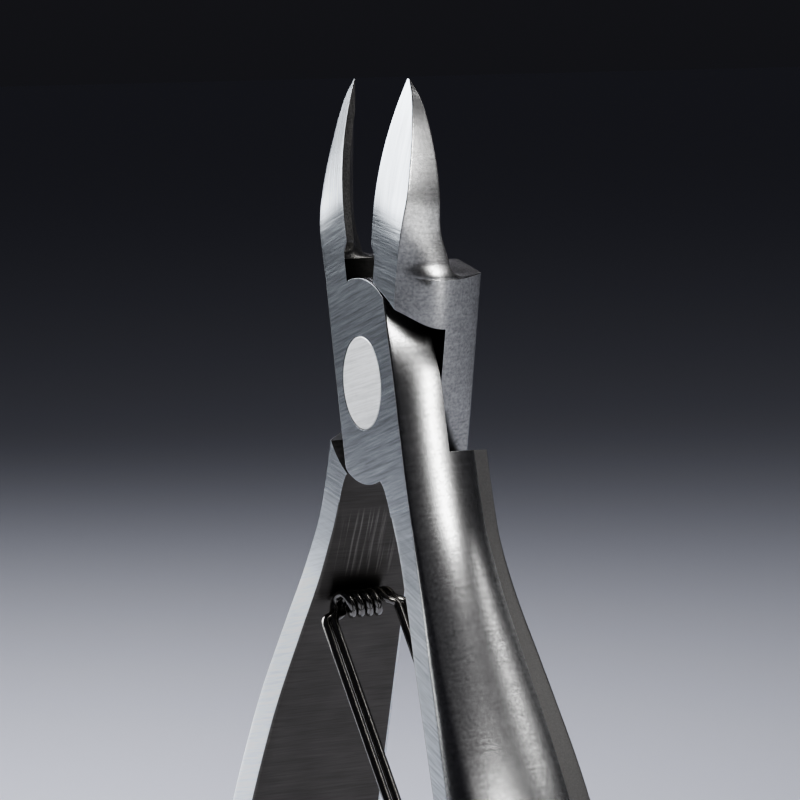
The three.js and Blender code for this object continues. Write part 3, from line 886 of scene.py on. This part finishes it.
def jaw_steel(mirror):
    """The hollow faces inside the jaws: blasted, finely speckled."""
    steel = Finish(f"jaw_{mirror:+d}", (0.45, 0.44, 0.42), 0.36, mirror)
    grit = steel.speckle(9)
    steel.add_height(grit, 0.6)
    steel.add_tone(grit, 1.6)
    steel.add_tone(steel.grain((0.5, 2, 0.4)), 0.6)
    steel.add_roughness(steel.speckle(1), 0.15)
    return steel.finish(0.03)


def recess_steel(mirror):
    """The milled recesses and bores: rough, and painted nearly black as shade, with some dirt."""
    # The near-black tint is painted shade of the recesses, partly dirt.
    steel = Finish(f"recess_{mirror:+d}", (0.04, 0.039, 0.037), 0.45, mirror)
    lines = steel.grain((0.4, 1, 4))
    steel.add_height(lines, 1.5)
    steel.add_tone(lines, 1.0)
    steel.add_tone(steel.speckle(2), 0.8)
    # The strong edge brightening here is mostly a painted highlight along the recess edges.
    return steel.finish(0.05, edge_wear_and_highlight=2.5)


def pin_steel():
    steel = Finish("ground_pin", (0.95, 0.95, 0.94), 0.46, -1)
    lines = steel.grain((0.2, 0.5, 7), 24)
    steel.add_height(lines, 1.4)
    steel.add_tone(lines, 0.8)
    steel.add_tone(steel.speckle(1.5), 0.1)
    return steel.finish(0.03, edge_wear_and_highlight=0)


def spring_steel():
    steel = Finish("spring_wire", (0.36, 0.35, 0.33), 0.16, 1)
    marks = steel.speckle((2, 2, 0.5))
    steel.add_height(marks, 0.5)
    steel.add_tone(marks, 0.4)
    steel.add_roughness(steel.speckle(1.2), 0.1)
    return steel.finish(0.02, edge_wear_and_highlight=0)


def screw_steel():
    steel = Finish("screw_head", (0.5, 0.5, 0.5), 0.28, 1)
    steel.add_height(steel.speckle(6), 1)
    steel.add_tone(steel.speckle(1), 0.3)
    return steel.finish(0.08)


# The steels of each lever, in the order of FINISHES
FINISH_STEELS = {
    mirror: [make(mirror) for make in (satin_steel, front_steel, facet_steel, inner_steel,
                                       recess_steel, jaw_steel)]
    for mirror in (1, -1)
}


# ---------------------------------------------------------------------------------------------
# Studio
# ---------------------------------------------------------------------------------------------

# The camera's place in metres, and which way its picture's right and up point
VIEW_FROM = Vector((0.202026, -0.095517, 0.022762))
VIEW_RIGHT = Vector((0.41666, 0.90882, -0.02082))
VIEW_UP = Vector((-0.08957, 0.06383, 0.99393))
LENS_MM = 145.7
SENSOR_MM = 36

# The background is this bright level with the tool, and rises by this much straight up.
BACKGROUND_LEVEL = 1
BACKGROUND_RISE = 0.74


def make_camera():
    data = bpy.data.cameras.new("camera")
    data.lens = LENS_MM
    data.sensor_width = SENSOR_MM
    data.clip_start = 0.01
    data.clip_end = 50
    camera = bpy.data.objects.new("camera", data)
    bpy.context.scene.collection.objects.link(camera)
    back = VIEW_RIGHT.cross(VIEW_UP)
    axes = Matrix((VIEW_RIGHT, VIEW_UP, back)).transposed().to_4x4()
    camera.matrix_world = Matrix.Translation(VIEW_FROM) @ axes
    bpy.context.scene.camera = camera


def towards(azimuth, elevation):
    """A unit vector from the tool: azimuth from +x to +y and elevation, in degrees."""
    azimuth, elevation = math.radians(azimuth), math.radians(elevation)
    return Vector((math.cos(azimuth) * math.cos(elevation), math.sin(azimuth) * math.cos(elevation),
                   math.sin(elevation)))


def softbox(name, low, high, distance, width, watts, colour=(1, 1, 1), aim=(0, 0, 0), spread=180):
    """A rectangular light from its low end to its high end, each an (azimuth, elevation). Its
    light spreads over the given angle in degrees."""
    low_end, high_end = towards(*low) * distance, towards(*high) * distance
    middle = (low_end + high_end) / 2
    back = (middle - Vector(aim)).normalized()
    across = (high_end - low_end).cross(back).normalized()
    data = bpy.data.lights.new(name, "AREA")
    data.shape = "RECTANGLE"
    data.size = width
    data.size_y = (high_end - low_end).length
    data.energy = watts
    data.spread = math.radians(spread)
    data.color = colour
    light = bpy.data.objects.new(name, data)
    bpy.context.scene.collection.objects.link(light)
    axes = Matrix((across, back.cross(across), back)).transposed().to_4x4()
    light.matrix_world = Matrix.Translation(middle) @ axes


def make_floor():
    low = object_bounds()[0][2]
    reach = 12
    floor = new_object("floor", [(-reach, -reach, low), (reach, -reach, low),
                                 (reach, reach, low), (-reach, reach, low)], [(0, 1, 2, 3)])
    material = bpy.data.materials.new("pale_floor")
    material.use_nodes = True
    shader = material.node_tree.nodes["Principled BSDF"]
    shader.inputs["Base Color"].default_value = (0.66, 0.67, 0.72, 1)
    shader.inputs["Roughness"].default_value = 0.7
    floor.data.materials.append(material)


def make_world():
    world = bpy.data.worlds.new("studio")
    world.use_nodes = True
    nodes, links = world.node_tree.nodes, world.node_tree.links
    background = nodes["Background"]
    background.inputs["Color"].default_value = (0.022, 0.022, 0.026, 1)
    direction = nodes.new("ShaderNodeSeparateXYZ")
    links.new(nodes.new("ShaderNodeTexCoord").outputs["Generated"], direction.inputs[0])
    brighter_up = nodes.new("ShaderNodeMath")
    brighter_up.operation = "MULTIPLY_ADD"
    links.new(direction.outputs["Z"], brighter_up.inputs[0])
    brighter_up.inputs[1].default_value = BACKGROUND_RISE
    brighter_up.inputs[2].default_value = BACKGROUND_LEVEL
    links.new(brighter_up.outputs[0], background.inputs["Strength"])
    bpy.context.scene.world = world


def make_studio():
    bpy.context.scene.view_settings.look = "AgX - High Contrast"
    make_camera()
    make_floor()
    make_world()
    softbox("left_box", (210, 1), (210, 50), 0.85, 0.6, 1.3, (0.96, 0.98, 1), spread=90)
    softbox("left_card", (191, -17), (191, -9), 0.32, 0.07, 0.022, (0.96, 0.98, 1))
    softbox("joint_strip", (2, 12), (14, 34), 0.7, 0.1, 1.2)
    softbox("handle_strip", (46, 32), (62, 60), 0.7, 0.04, 0.22)
    softbox("low_card", (10, -17), (10, 0), 0.3, 0.06, 0.03)
    softbox("rear_fill", (84, 0), (84, 55), 0.8, 0.2, 0.16)
    softbox("front_fill", (-12, 20), (-12, 60), 0.8, 0.5, 0.02)
    softbox("near_glow", (178, 24), (178, 44), 0.28, 0.15, 0.44, (0.9, 0.9, 1), (-0.24, 0.02, -0.1))
    softbox("far_glow", (156, 55), (156, 67), 1.35, 0.5, 0.25, (0.88, 0.89, 1), (-0.6, 0.27, 0))


# ---------------------------------------------------------------------------------------------
# The tool
# ---------------------------------------------------------------------------------------------

def place_piece(obj, mirror, node):
    turn_in_place(obj, mirror)
    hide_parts(node)


def make_tool():
    for name, mirror in (("front_lever", 1), ("rear_lever", -1)):
        lever = make_lever(name, mirror)
        place_piece(lever, mirror, name)
        smooth(lever)
        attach(lever, name)

    pin = make_pin()
    pin.data.materials.append(pin_steel())
    place_piece(pin, -1, "pivot_pin")
    smooth(pin)
    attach(pin, "rear_lever")

    screw = make_screw()
    screw.data.materials.append(screw_steel())
    place_piece(screw, 1, "spring_screw")
    smooth(screw)
    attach(screw, "front_lever")

    spring = tube("return_spring_fine", spring_path(), WIRE_RADIUS)
    spring.data.materials.append(spring_steel())
    place_piece(spring, 1, "return_spring")
    spring.data.shade_smooth()
    bend_spring(spring)


def row_point(x, z):
    """A point of the front lever's frame in the row frame, in metres."""
    point = Matrix.Rotation(-HALF_OPENING, 4, "Y") @ Vector((x, 0, z))
    return (point + Vector((0, -HALF_JOINT, 0))) * MM


def bend_spring(spring):
    """Bakes the spring's place into its mesh; the legs' foot and the coil's place are worked out but
    not used.
    """
    foot = row_point(handle_inner(LEG_FOOT) - LEG_FOOT_LIFT, LEG_FOOT)
    coil = row_point(*coil_place())
    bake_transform(spring)


make_tool()
make_studio()
